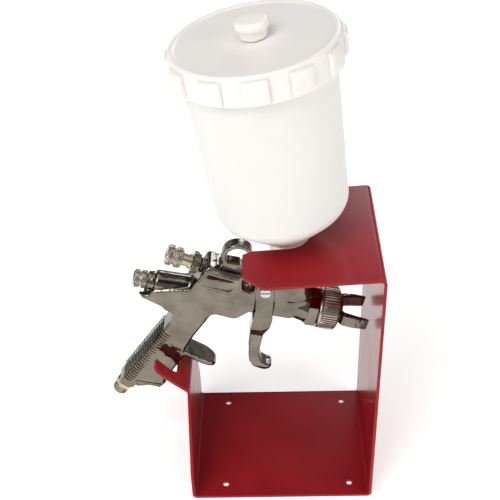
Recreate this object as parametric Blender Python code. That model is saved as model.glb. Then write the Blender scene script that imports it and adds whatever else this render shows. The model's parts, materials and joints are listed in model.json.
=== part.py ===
"""Bench stand of bent sheet steel, holding a gravity-feed spray gun by its neck and its handle.

Frame: origin at the middle of the underside of the stand's base, +X towards the nozzle,
+Y away from the side with the pivot screw's head, +Z up. Sizes are in millimetres and become
metres when a mesh is made. The gun's pieces are drawn in the gun's own frame (x forwards along
the needle, z up), the cup's in the cup's frame (z along its axis) and the fan valve's in a
frame of its own, each under an empty.
"""

import math

import bmesh
import bpy
from mathutils import Matrix, Vector

MM = 0.001
GAP = 0.3                    # clearance between pieces that touch

# Stand
STAND_DEPTH = 102.5
STAND_HEIGHT = 198.5
SHEET = 2.0                  # sheet thickness
BEND_RADIUS = 2.6            # to the middle of the sheet
BEND_STEPS = 4
PLATE_SLOPE = math.radians(3.5)
PLATE_REACH = 28.8           # top plate's free edge, left of the neck
PLATE_CHAMFER = (13.0, 12.0)
NECK_CLEARANCE = 1.0         # slot in the top plate around the cup's outlet
NOZZLE_CLEARANCE = 0.5       # horns of the turned air cap to the right upright
TAPER_START = 25.0           # height where the left upright starts to narrow
FORK_BELOW_GUN = 58.0        # bend under the fork, below the gun's origin
FORK_HALF = 25.8
FORK_ANGLE = math.radians(43.0)
FORK_FLAT = 20.5
LIP_ANGLE = math.radians(50.0)
LIP_LENGTH = 10.5
LIP_CHAMFER = (4.0, 4.0)
HANDLE_CLEARANCE = 6.1       # fork's slot to each side of the handle
HOLE_RADIUS = 2.25
HOLE_INSET = (23.7, 15.2, 11.0)  # from the left, the right, and the front or back edge

# Gun in the stand
GUN_TILT = math.radians(12.5)    # nose down
NECK_TO_LEFT = 70.2          # neck at the top plate, from the left upright
CUP_LEAN = math.radians(7.7)     # cup's axis from the vertical, away from the nozzle
NECK_X = 3.3                 # where the cup's axis crosses the needle's axis
NECK_LENGTH = 56.7           # along the cup's axis, from the needle's axis to the plate's top
BODY_HALF = 9.7              # half thickness of the casting

# Cup, measured along its axis from the needle's axis
STUB_RADIUS = 13.0
STUB_START = 40.0
SOCKET_RADIUS = 9.3
CUP_WALL = 2.0
FUNNEL_START = 57.3
FUNNEL_HEIGHT = 24.0
CUP_RADIUS = 41.6            # at the foot of the straight wall
CUP_TAPER = 3.4              # gain in radius up to the rim
CUP_HEIGHT = 109.2           # straight wall
OUTLET_RADIUS = 6.0
LID_RADIUS = 49.5
LID_SKIRT = 17.5
LID_PLATE = 2.4
LUG_COUNT = 12
LUG_HEIGHT = 2.6
LUG_SHARE = 0.56
GASKET = 1.2
KNOB_STEM_RADIUS = 7.8
KNOB_HEAD_RADIUS = 9.8
KNOB_STEM = 4.9
KNOB_HEAD = 5.2

# Trigger
PIVOT = (-23.0, 14.5)
PIVOT_RADIUS = 2.0
ARM_THICKNESS = 2.0
ARM_OUT = BODY_HALF + 0.4 + ARM_THICKNESS
SLOT_REAR = -26.5
SLOT_FRONT = -15.5
BAR_FRONT = -17.2
BAR_THICKNESS = 2.8

# Along the needle's axis
NEEDLE_RADIUS = 1.25
HEAD_FACE = 11.0
SPIGOT_RADIUS = 11.3
SPIGOT_END = 20.0
SPIGOT_BORE = 8.5
NOZZLE_SEAT = 10.3
NOZZLE_THREAD = 6.0
NOZZLE_TIP = 30.2
RING_START = 15.5
RING_END = 29.0
RING_RADIUS = 14.9
CAP_FLANGE = 10.9
CAP_FRONT = 31.5
HORN_TIP = 49.5
HORN_REACH = 11.7            # of the tip, from the needle's axis
HORN_HALF = 4.4
CHAMBER_RADIUS = 5.5
TUBE_RADIUS = 8.0
TUBE_END = -94.5
STEM_RADIUS = 2.9
KNOB_FRONT = -99.4
KNOB_REAR = -109.0
KNOB_RADIUS = 6.2

# Fan valve, along its own axis from the sloping rear face of the casting, rearwards
FAN_SEAT = (-66.0, 19.3)
FAN_TILT = math.radians(10.7)
FAN_BORE = 4.9
GLAND_RING = 7.6
FAN_KNOB_RADIUS = 7.0
FAN_KNOB_START = 14.0
FAN_KNOB_LENGTH = 10.6

# Handle
HANDLE_LEAN = math.radians(23.0)
INLET_RADIUS = 5.4

# Worked out from the sizes above
NECK_TILT = GUN_TILT + CUP_LEAN
LID_TOP = FUNNEL_START + FUNNEL_HEIGHT + CUP_HEIGHT + GASKET + 2 * GAP + LID_PLATE


def bench_xz(x, z):
    """A point of the gun's frame, in the stand's frame, measured from the gun's origin."""
    across = x * math.cos(GUN_TILT) + z * math.sin(GUN_TILT)
    up = z * math.cos(GUN_TILT) - x * math.sin(GUN_TILT)
    return across, up


# The horns' reach sets the right upright, and the neck's place sets the left one.
NECK_BASE = bench_xz(NECK_X, 0.0)
PLATE_NECK_X = NECK_BASE[0] - NECK_LENGTH * math.sin(CUP_LEAN)
STAND_WIDTH = (NECK_TO_LEFT - PLATE_NECK_X + bench_xz(HORN_TIP, HORN_REACH)[0]
               + NOZZLE_CLEARANCE + SHEET)
LEFT = -STAND_WIDTH / 2
RIGHT = STAND_WIDTH / 2
GUN_X = LEFT + NECK_TO_LEFT - PLATE_NECK_X
PLATE_DROP = (RIGHT - LEFT - NECK_TO_LEFT) * math.tan(PLATE_SLOPE)
GUN_Z = (STAND_HEIGHT - PLATE_DROP - NECK_BASE[1] - NECK_LENGTH * math.cos(CUP_LEAN))
FORK_BEND = GUN_Z - FORK_BELOW_GUN

# Outlines in the gun's frame, x then z.
HANDLE_OUTLINE = [(-52.8, -14.0), (-62.0, -36.5), (-65.4, -48.0), (-66.2, -58.0),
                  (-75.0, -81.0), (-74.6, -84.5), (-76.8, -88.8), (-86.0, -88.4),
                  (-95.5, -91.5), (-97.2, -95.1), (-107.5, -90.8), (-102.9, -80.4),
                  (-89.2, -48.9), (-80.0, -26.5), (-80.6, -16.0)]
BODY_OUTLINE = [(-94.0, -1.5), (-104.2, -1.5), (-103.6, -5.4), (-101.0, -8.6),
                (-88.2, -13.3), (-85.2, -16.2), (-70.0, -22.0), (-56.5, -18.0),
                (-54.0, -14.6), (-51.0, -13.5), (-39.0, -15.0), (-35.8, -13.4),
                (-29.9, -7.0), (-26.0, -7.2), (-8.0, -7.2), (-2.0, -7.4),
                (6.0, 3.0), (6.0, 15.0), (2.0, 20.0), (-28.0, 20.0),
                (-30.0, 18.0), (-30.2, 9.6), (-37.6, 10.6), (-39.2, 22.6),
                (-44.5, 22.0), (-61.6, 25.2), (-63.6, 23.8), (-71.2, 4.4)]
GUARD_OUTLINE = [(-72.0, -50.2), (-60.0, -54.0), (-50.0, -57.8), (-44.4, -60.4),
                 (-42.4, -62.4), (-43.6, -64.2), (-46.4, -63.4), (-72.0, -53.9)]
PANEL_OUTLINE = [(-62.4, 22.6), (-45.0, 19.8), (-40.6, 20.6), (-40.2, 13.4),
                 (-45.0, 6.4), (-65.6, 9.0), (-67.6, 12.0)]
LEVER_OUTLINE = [(-13.5, -12.4), (-13.8, -18.0), (-16.0, -26.0), (-15.9, -32.0),
                 (-15.8, -40.0), (-14.8, -48.0), (-12.4, -53.5), (-8.5, -55.8),
                 (-5.0, -55.5), (-3.8, -57.5), (-4.8, -61.0), (-8.0, -63.0),
                 (-12.5, -62.0), (-17.0, -59.0), (-20.6, -54.0), (-22.6, -47.0),
                 (-23.6, -38.0), (-25.0, -30.0), (-26.0, -22.0), (-26.4, -12.4)]
LEVER_TAPER = [(-12.4, 0.0), (-20.0, 2.0), (-28.0, 4.6), (-44.0, 6.2), (-58.0, 6.4),
               (-63.0, 9.4)]     # height, then how much narrower each side is than the arms
ARM_OUTLINE = [(-29.6, 13.5), (-28.6, 9.6), (-26.2, -4.0), (-26.2, -20.0),
               (-19.0, -20.0), (-13.8, -16.4), (-13.4, -9.5), (-14.8, 0.0),
               (-16.4, 12.0), (-17.4, 17.6), (-20.6, 21.0), (-25.4, 21.0),
               (-28.6, 18.2)]
HORN_OUTLINE = [(29.7, 3.5), (33.0, 7.6), (40.0, 9.4), (47.2, 10.8), (HORN_TIP, HORN_REACH),
                (48.8, 12.8), (40.0, 13.3), (32.0, 12.2), (29.7, 9.1)]


def clear_scene():
    for old in list(bpy.data.objects):
        bpy.data.objects.remove(old, do_unlink=True)


def material(name, colour, roughness, metallic):
    made = bpy.data.materials.new(name)
    made.use_nodes = True
    shader = made.node_tree.nodes["Principled BSDF"]
    shader.inputs["Base Color"].default_value = (*colour, 1.0)
    shader.inputs["Roughness"].default_value = roughness
    shader.inputs["Metallic"].default_value = metallic
    return made


def new_object(name, bm, finish, parent=None, place=None):
    """Closes a bmesh drawn in millimetres into an object in metres, placed under its parent."""
    bmesh.ops.recalc_face_normals(bm, faces=bm.faces)
    bmesh.ops.scale(bm, vec=(MM, MM, MM), verts=bm.verts)
    mesh = bpy.data.meshes.new(name)
    bm.to_mesh(mesh)
    bm.free()
    mesh.shade_smooth()
    mesh.set_sharp_from_angle(angle=math.radians(32))
    mesh.materials.append(finish)
    made = bpy.data.objects.new(name, mesh)
    bpy.context.scene.collection.objects.link(made)
    made.parent = parent
    if place is not None:
        made.location = Vector(place) * MM
    return made


def empty(name, parent, location, turn_y):
    made = bpy.data.objects.new(name, None)
    bpy.context.scene.collection.objects.link(made)
    made.parent = parent
    made.location = Vector(location) * MM
    made.rotation_euler = (0.0, turn_y, 0.0)
    return made


def slab(outline, low, high, shift=(0.0, 0.0)):
    """An outline in x and z, extruded along y from low to high."""
    bm = bmesh.new()
    corners = [bm.verts.new((x - shift[0], low, z - shift[1])) for x, z in outline]
    face = bm.faces.new(corners)
    grown = bmesh.ops.extrude_face_region(bm, geom=[face])
    moved = [item for item in grown["geom"] if isinstance(item, bmesh.types.BMVert)]
    bmesh.ops.translate(bm, vec=(0, high - low, 0), verts=moved)
    return bm


def turned(profile, steps, closed=False, axis="X"):
    """A profile of (along, radius) points, turned about the x axis or the z axis."""
    bm = bmesh.new()
    if axis == "X":
        points = [(along, radius, 0.0) for along, radius in profile]
        line = (1, 0, 0)
    else:
        points = [(radius, 0.0, along) for along, radius in profile]
        line = (0, 0, 1)
    verts = [bm.verts.new(point) for point in points]
    edges = [bm.edges.new(pair) for pair in zip(verts, verts[1:])]
    if closed:
        edges.append(bm.edges.new((verts[-1], verts[0])))
    bmesh.ops.spin(bm, geom=verts + edges, cent=(0, 0, 0), axis=line,
                   angle=math.tau, steps=steps, use_merge=True)
    bmesh.ops.remove_doubles(bm, verts=bm.verts, dist=0.0005)
    return bm


def rod(radius, low, high, axis="X", steps=16):
    return turned([(low, 0.0), (low, radius), (high, radius), (high, 0.0)], steps, axis=axis)


def tube(outer, inner, low, high, axis="X", steps=20):
    profile = [(low, inner), (low, outer), (high, outer), (high, inner)]
    return turned(profile, steps, closed=True, axis=axis)


def helper(name, bm, finish, parent=None, place=None):
    made = new_object(name, bm, finish, parent, place)
    made.hide_render = True
    made.display_type = "WIRE"
    return made


def combine(target, other, operation):
    modifier = target.modifiers.new(f"{operation.lower()} {other.name}", "BOOLEAN")
    modifier.operation = operation
    modifier.solver = "EXACT"
    modifier.object = other


def cut(target, other):
    combine(target, other, "DIFFERENCE")


def join(target, other):
    combine(target, other, "UNION")


def bent_strip(points, radius, thickness, steps):
    """Outline of a sheet of one thickness that follows points, with its bends rounded."""
    path = []
    count = len(points)
    for index, point in enumerate(points):
        here = Vector(point)
        if index in (0, count - 1):
            ahead = Vector(points[1 if index == 0 else count - 1])
            behind = Vector(points[0 if index == 0 else count - 2])
            path.append((here, (ahead - behind).normalized()))
            continue
        into = (here - Vector(points[index - 1])).normalized()
        away = (Vector(points[index + 1]) - here).normalized()
        turn = into.angle_signed(away)
        reach = radius * math.tan(abs(turn) / 2)
        for step in range(steps + 1):
            share = step / steps
            heading = Matrix.Rotation(-turn * share, 2) @ into
            side = Vector((-into.y, into.x)) * (1 if turn < 0 else -1)
            centre = here - into * reach + side * radius
            spoke = Matrix.Rotation(-turn * share, 2) @ (-side)
            path.append((centre + spoke * radius, heading))
    half = thickness / 2
    left = [spot + Vector((-way.y, way.x)) * half for spot, way in path]
    right = [spot - Vector((-way.y, way.x)) * half for spot, way in path]
    return [tuple(p) for p in left + right[::-1]]


def slot_bottom_height():
    """Where the handle's front meets the underside of the fork, less a clearance."""
    (x0, z0), (x1, z1) = [bench_xz(*corner) for corner in HANDLE_OUTLINE[3:5]]
    front_slope = (x1 - x0) / (z1 - z0)
    fork_slope = -1.0 / math.tan(FORK_ANGLE)
    foot = FORK_BEND - SHEET / 2 * math.tan(FORK_ANGLE / 2)
    start = GUN_X + x0 - front_slope * (GUN_Z + z0)
    return (start + GAP - LEFT + fork_slope * foot) / (fork_slope - front_slope)


def prism_yz(outline, low, high):
    """An outline in y and z, extruded along x."""
    bm = bmesh.new()
    face = bm.faces.new([bm.verts.new((low, y, z)) for y, z in outline])
    grown = bmesh.ops.extrude_face_region(bm, geom=[face])
    moved = [item for item in grown["geom"] if isinstance(item, bmesh.types.BMVert)]
    bmesh.ops.translate(bm, vec=(high - low, 0, 0), verts=moved)
    return bm


def prism_xy(outline, low, high):
    """An outline in x and y, extruded along z."""
    bm = bmesh.new()
    face = bm.faces.new([bm.verts.new((x, y, low)) for x, y in outline])
    grown = bmesh.ops.extrude_face_region(bm, geom=[face])
    moved = [item for item in grown["geom"] if isinstance(item, bmesh.types.BMVert)]
    bmesh.ops.translate(bm, vec=(0, 0, high - low), verts=moved)
    return bm


def make_stand(finish):
    half = SHEET / 2
    slot_bottom = slot_bottom_height() - GAP
    bend = FORK_BEND
    fork = Vector((-math.cos(FORK_ANGLE), math.sin(FORK_ANGLE))) * FORK_FLAT
    lip = Vector((-math.cos(LIP_ANGLE), math.sin(LIP_ANGLE))) * LIP_LENGTH
    plate_left = LEFT + NECK_TO_LEFT - PLATE_REACH
    corner = Vector((LEFT + half, bend))
    plate_fall = (RIGHT - plate_left) * math.tan(PLATE_SLOPE)
    route = [tuple(corner + fork + lip), tuple(corner + fork), tuple(corner),
             (LEFT + half, half), (RIGHT - half, half), (RIGHT - half, STAND_HEIGHT - half),
             (plate_left, STAND_HEIGHT - half - plate_fall)]
    outline = bent_strip(route, BEND_RADIUS, SHEET, BEND_STEPS)
    depth = STAND_DEPTH / 2
    stand = new_object("stand_frame", slab(outline, -depth, depth), finish)

    # Fork's slot for the handle, and the left upright's taper up to the fork.
    slot_half = BODY_HALF + HANDLE_CLEARANCE
    tip = (corner + fork + lip).y + half
    arc = [(slot_half - 5.0 + 5.0 * math.cos(a), slot_bottom + 5.0 + 5.0 * math.sin(a))
           for a in [math.radians(-90 + 18 * i) for i in range(6)]]
    right_side = arc + [(slot_half, tip + 10.0)]
    mouth = right_side + [(-y, z) for y, z in reversed(right_side)]
    reach = LEFT - FORK_FLAT - LIP_LENGTH - 20.0
    cut(stand, helper("fork_cut", prism_yz(mouth, reach, LEFT + 3 * SHEET), finish))
    for name, sign in (("near", -1), ("far", 1)):
        edge = [(depth + 5.0, TAPER_START), (depth, TAPER_START), (FORK_HALF, bend),
                (FORK_HALF, tip - LIP_CHAMFER[1]), (FORK_HALF - LIP_CHAMFER[0], tip),
                (FORK_HALF - LIP_CHAMFER[0], tip + 5.0), (depth + 5.0, tip + 5.0)]
        side = [(sign * y, z) for y, z in edge]
        taper = prism_yz(side, reach, LEFT + 3 * SHEET)
        cut(stand, helper(f"upright_taper_cut_{name}", taper, finish))

    # Slot of the top plate, open to the left.
    neck_x = LEFT + NECK_TO_LEFT
    slot = STUB_RADIUS + NECK_CLEARANCE
    end = [(neck_x + slot * math.cos(a), slot * math.sin(a))
           for a in [math.radians(-90 + 15 * i) for i in range(13)]]
    flare = 3.0
    mouth_x = plate_left - 10.0
    outline = end + [(plate_left + 6.0, slot), (mouth_x, slot + 2.6 * flare),
                     (mouth_x, -slot - 2.6 * flare), (plate_left + 6.0, -slot)]
    above = (STAND_HEIGHT - 30.0, STAND_HEIGHT + 10.0)
    cut(stand, helper("neck_slot_cut", prism_xy(outline, *above), finish))
    for sign in (-1, 1):
        corner_cut = [(plate_left - 5.0, sign * (depth - PLATE_CHAMFER[1])),
                      (plate_left, sign * (depth - PLATE_CHAMFER[1])),
                      (plate_left + PLATE_CHAMFER[0], sign * depth),
                      (plate_left + PLATE_CHAMFER[0], sign * (depth + 5.0)),
                      (plate_left - 5.0, sign * (depth + 5.0))]
        cut(stand, helper(f"plate_corner_cut_{sign}", prism_xy(corner_cut, *above), finish))

    # Four screw holes in the base.
    left_x = LEFT + HOLE_INSET[0]
    right_x = RIGHT - HOLE_INSET[1]
    hole_y = depth - HOLE_INSET[2]
    for index, (x, y) in enumerate([(left_x, -hole_y), (right_x, -hole_y),
                                    (left_x, hole_y), (right_x, hole_y)]):
        drill = rod(HOLE_RADIUS, -SHEET, 2 * SHEET, axis="Z", steps=12)
        cut(stand, helper(f"base_hole_cut_{index}", drill, finish, place=(x, y, 0)))
    return stand


def make_body(gun, cup_frame, fan_frame, finish):
    body = new_object("gun_body", slab(BODY_OUTLINE, -BODY_HALF, BODY_HALF), finish, gun)
    # Handle, with its edges chamfered along its length.
    handle = slab(HANDLE_OUTLINE, -BODY_HALF + 0.2, BODY_HALF - 0.2)
    bmesh.ops.recalc_face_normals(handle, faces=handle.faces)
    rims = [edge for edge in handle.edges if len({round(v.co.y, 3) for v in edge.verts}) == 1]
    bmesh.ops.bevel(handle, geom=rims, offset=2.2, segments=1, profile=0.5, affect="EDGES")
    join(body, helper("handle_form", handle, finish, gun))
    guard = slab(GUARD_OUTLINE, -BODY_HALF + 1.3, BODY_HALF - 1.3)
    join(body, helper("guard_form", guard, finish, gun))
    panel = slab(PANEL_OUTLINE, -BODY_HALF - 0.8, BODY_HALF + 0.8)
    join(body, helper("panel_form", panel, finish, gun))
    head = turned([(-30.0, 0.0), (-30.0, 7.4), (-14.0, 8.2), (-4.0, 9.8), (5.5, 11.8),
                   (8.0, 13.0), (HEAD_FACE, 13.0), (HEAD_FACE, SPIGOT_RADIUS),
                   (SPIGOT_END, SPIGOT_RADIUS), (SPIGOT_END, 0.0)], 28)
    join(body, helper("head_form", head, finish, gun))
    tail = turned([(TUBE_END, 0.0), (TUBE_END, TUBE_RADIUS - 0.8),
                   (TUBE_END + 0.8, TUBE_RADIUS), (-60.0, TUBE_RADIUS), (-60.0, 0.0)], 24)
    join(body, helper("tail_form", tail, finish, gun))
    neck = turned([(10.0, 0.0), (10.0, 12.4), (38.0, 12.4), (38.0, SOCKET_RADIUS - GAP),
                   (NECK_LENGTH - 2.8, SOCKET_RADIUS - GAP), (NECK_LENGTH - 2.8, 0.0)],
                  24, axis="Z")
    join(body, helper("neck_form", neck, finish, cup_frame))
    # Hanging hook: an arch that rises from the deck and stays open towards the cup.
    centre = (-44.6, 31.6)
    sweep = [math.radians(208 - 17 * i) for i in range(11)]
    arc_out = [(centre[0] + 11.0 * math.cos(a), centre[1] + 11.0 * math.sin(a)) for a in sweep]
    arc_in = [(centre[0] + 7.8 * math.cos(a), centre[1] + 7.8 * math.sin(a)) for a in sweep]
    hook = slab(arc_out + arc_in[::-1], -4.5, 4.5)
    join(body, helper("hook_form", hook, finish, gun))
    root = slab([(-54.4, 20.0), (-54.4, 27.0), (-51.6, 28.0), (-42.0, 27.4), (-40.4, 20.0)],
                -4.5, 4.5)
    join(body, helper("hook_root_form", root, finish, gun))

    # Bores along the needle, the trigger's slot, the paint and air passages.
    front = turned([(SLOT_FRONT - 1.0, 0.0), (SLOT_FRONT - 1.0, 3.7), (-5.7, 3.7),
                    (-5.7, NEEDLE_RADIUS + 0.6), (-4.5, NEEDLE_RADIUS + 0.6), (-4.5, 5.0),
                    (3.0, 5.0), (3.0, NOZZLE_THREAD + GAP),
                    (NOZZLE_SEAT - GAP, NOZZLE_THREAD + GAP), (NOZZLE_SEAT - GAP, SPIGOT_BORE),
                    (SPIGOT_END + 1.0, SPIGOT_BORE), (SPIGOT_END + 1.0, 0.0)], 20)
    cut(body, helper("front_bore_cut", front, finish, gun))
    rear = turned([(TUBE_END - 1.0, 0.0), (TUBE_END - 1.0, CHAMBER_RADIUS),
                   (-36.0, CHAMBER_RADIUS), (-36.0, STEM_RADIUS + GAP),
                   (SLOT_REAR + 1.0, STEM_RADIUS + GAP), (SLOT_REAR + 1.0, 0.0)], 20)
    cut(body, helper("rear_bore_cut", rear, finish, gun))
    slot = slab([(SLOT_REAR, -14.0), (SLOT_FRONT, -14.0), (SLOT_FRONT, 5.0), (SLOT_REAR, 5.0)],
                -BODY_HALF - 3.0, BODY_HALF + 3.0)
    cut(body, helper("trigger_slot_cut", slot, finish, gun))
    paint = rod(5.5, -1.0, NECK_LENGTH, axis="Z", steps=14)
    cut(body, helper("paint_passage_cut", paint, finish, cup_frame))
    pivot = rod(PIVOT_RADIUS + GAP, -BODY_HALF - 2.0, BODY_HALF + 2.0, axis="Z", steps=12)
    bmesh.ops.rotate(pivot, cent=(0, 0, 0), matrix=Matrix.Rotation(math.pi / 2, 3, "X"),
                     verts=pivot.verts)
    cut(body, helper("pivot_cut", pivot, finish, gun, (PIVOT[0], 0, PIVOT[1])))
    notch = rod(4.6, -BODY_HALF - 2.0, BODY_HALF + 2.0, axis="Z", steps=16)
    bmesh.ops.rotate(notch, cent=(0, 0, 0), matrix=Matrix.Rotation(math.pi / 2, 3, "X"),
                     verts=notch.verts)
    cut(body, helper("knob_notch_cut", notch, finish, gun, (-99.8, 0, -1.6)))
    scoop = turned([(-108.0, 0.0), (-108.0, 8.2), (TUBE_END - 0.1, 8.2), (TUBE_END - 0.1, 0.0)],
                   20)
    cut(body, helper("knob_scoop_cut", scoop, finish, gun))
    air = rod(3.6, 2.0, 112.0, axis="Z", steps=12)
    lean = Matrix.Rotation(HANDLE_LEAN, 3, "Y")
    bmesh.ops.rotate(air, cent=(0, 0, 0), matrix=lean, verts=air.verts)
    cut(body, helper("air_passage_cut", air, finish, gun, (-106.4, 0, -104.0)))
    fan = turned([(-6.0, 0.0), (-6.0, FAN_BORE), (12.4, FAN_BORE), (12.4, 2.6),
                  (26.0, 2.6), (26.0, 0.0)], 16)
    cut(body, helper("fan_bore_cut", fan, finish, fan_frame))
    return body


def make_inlet(gun, brass, seal):
    """Threaded connector in the foot of the handle, along the handle's air passage."""
    frame = empty("inlet_axis", gun, (-106.4, 0, -104.0), HANDLE_LEAN)
    # The connector's thread sits in the handle, its hex and hose thread stand below.
    profile = [(-0.8, 2.6), (-0.8, INLET_RADIUS - 0.6), (-0.1, INLET_RADIUS), (6.0, INLET_RADIUS),
               (6.0, INLET_RADIUS + 1.3), (10.2, INLET_RADIUS + 1.3), (10.2, 3.2),
               (26.0, 3.2), (26.0, 2.2)]
    new_object("air_inlet", turned(profile, 18, closed=True, axis="Z"), brass, frame)
    return frame


def make_trigger(gun, finish):
    shift = PIVOT
    place = (PIVOT[0], 0, PIVOT[1])
    low = slab(LEVER_OUTLINE, -ARM_OUT, ARM_OUT, shift)
    trigger = new_object("trigger", low, finish, gun, place)
    for side, sign in (("near", -1), ("far", 1)):
        cheek = [(sign * (ARM_OUT - narrower), z - PIVOT[1]) for z, narrower in LEVER_TAPER]
        cheek.append((sign * (ARM_OUT + 4.0), LEVER_TAPER[-1][0] - 3.0 - PIVOT[1]))
        cheek.append((sign * (ARM_OUT + 4.0), LEVER_TAPER[0][0] - PIVOT[1]))
        trim = prism_yz(cheek, -30.0 - PIVOT[0], 0.0 - PIVOT[0])
        cut(trigger, helper(f"lever_taper_cut_{side}", trim, finish, gun, place))
    for side, (near, far) in {"near": (-ARM_OUT, -BODY_HALF - 0.4),
                              "far": (BODY_HALF + 0.4, ARM_OUT)}.items():
        arm = slab(ARM_OUTLINE, near, far, shift)
        join(trigger, helper(f"trigger_arm_{side}", arm, finish, gun, place))
    bar = slab([(BAR_FRONT - BAR_THICKNESS, -4.6), (BAR_FRONT, -4.6), (BAR_FRONT, 4.2),
                (BAR_FRONT - BAR_THICKNESS, 4.2)], -ARM_OUT + 0.5, ARM_OUT - 0.5, shift)
    join(trigger, helper("trigger_bar", bar, finish, gun, place))
    hollow = slab([(-32.0, -24.0), (-22.0, -24.0), (-19.8, -32.0), (-19.4, -44.0),
                   (-21.0, -48.0), (-32.0, -48.0)], -3.8, 3.8, shift)
    cut(trigger, helper("trigger_hollow_cut", hollow, finish, gun, place))
    hole = rod(NEEDLE_RADIUS + 1.15, -24.0 - PIVOT[0], -12.0 - PIVOT[0], steps=12)
    cut(trigger, helper("trigger_needle_cut", hole, finish, gun, (PIVOT[0], 0, 0)))
    bore = rod(PIVOT_RADIUS + GAP, -ARM_OUT - 2.0, ARM_OUT + 2.0, axis="Z", steps=12)
    bmesh.ops.rotate(bore, cent=(0, 0, 0), matrix=Matrix.Rotation(math.pi / 2, 3, "X"),
                     verts=bore.verts)
    cut(trigger, helper("trigger_bore_cut", bore, finish, gun, place))
    return trigger


def make_pivot(gun, steel):
    """Pivot screw and its nut, turned along z and then laid along y."""
    place = (PIVOT[0], 0, PIVOT[1])
    lay = Matrix.Rotation(math.pi / 2, 3, "X")
    head = ARM_OUT + GAP
    screw = turned([(-ARM_OUT - 1.4, 0.0), (-ARM_OUT - 1.4, PIVOT_RADIUS), (head, PIVOT_RADIUS),
                    (head, 3.8), (head + 0.9, 3.8), (head + 1.6, 2.8), (head + 1.6, 0.0)],
                   16, axis="Z")
    bmesh.ops.rotate(screw, cent=(0, 0, 0), matrix=lay, verts=screw.verts)
    new_object("trigger_pin", screw, steel, gun, place)
    nut = turned([(-head - 1.6, PIVOT_RADIUS + GAP), (-head - 1.6, 3.4), (-head - 1.1, 3.8),
                  (-head, 3.8), (-head, PIVOT_RADIUS + GAP)], 16, closed=True, axis="Z")
    bmesh.ops.rotate(nut, cent=(0, 0, 0), matrix=lay, verts=nut.verts)
    new_object("trigger_nut", nut, steel, gun, place)


def coil(name, mean, wire, low, high, turns, finish, parent):
    """A helical spring about the x axis, with capped ends."""
    steps = 10
    count = int(turns * steps)
    curve = bpy.data.curves.new(name, "CURVE")
    curve.dimensions = "3D"
    curve.bevel_depth = wire * MM
    curve.bevel_resolution = 0
    curve.use_fill_caps = True
    spline = curve.splines.new("POLY")
    spline.points.add(count)
    for index in range(count + 1):
        angle = math.tau * index / steps
        along = low + wire + (high - low - 2 * wire) * index / count
        spot = Vector((along, mean * math.cos(angle), mean * math.sin(angle))) * MM
        spline.points[index].co = (*spot, 1.0)
    curve.materials.append(finish)
    made = bpy.data.objects.new(name, curve)
    bpy.context.scene.collection.objects.link(made)
    made.parent = parent
    return made


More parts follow.
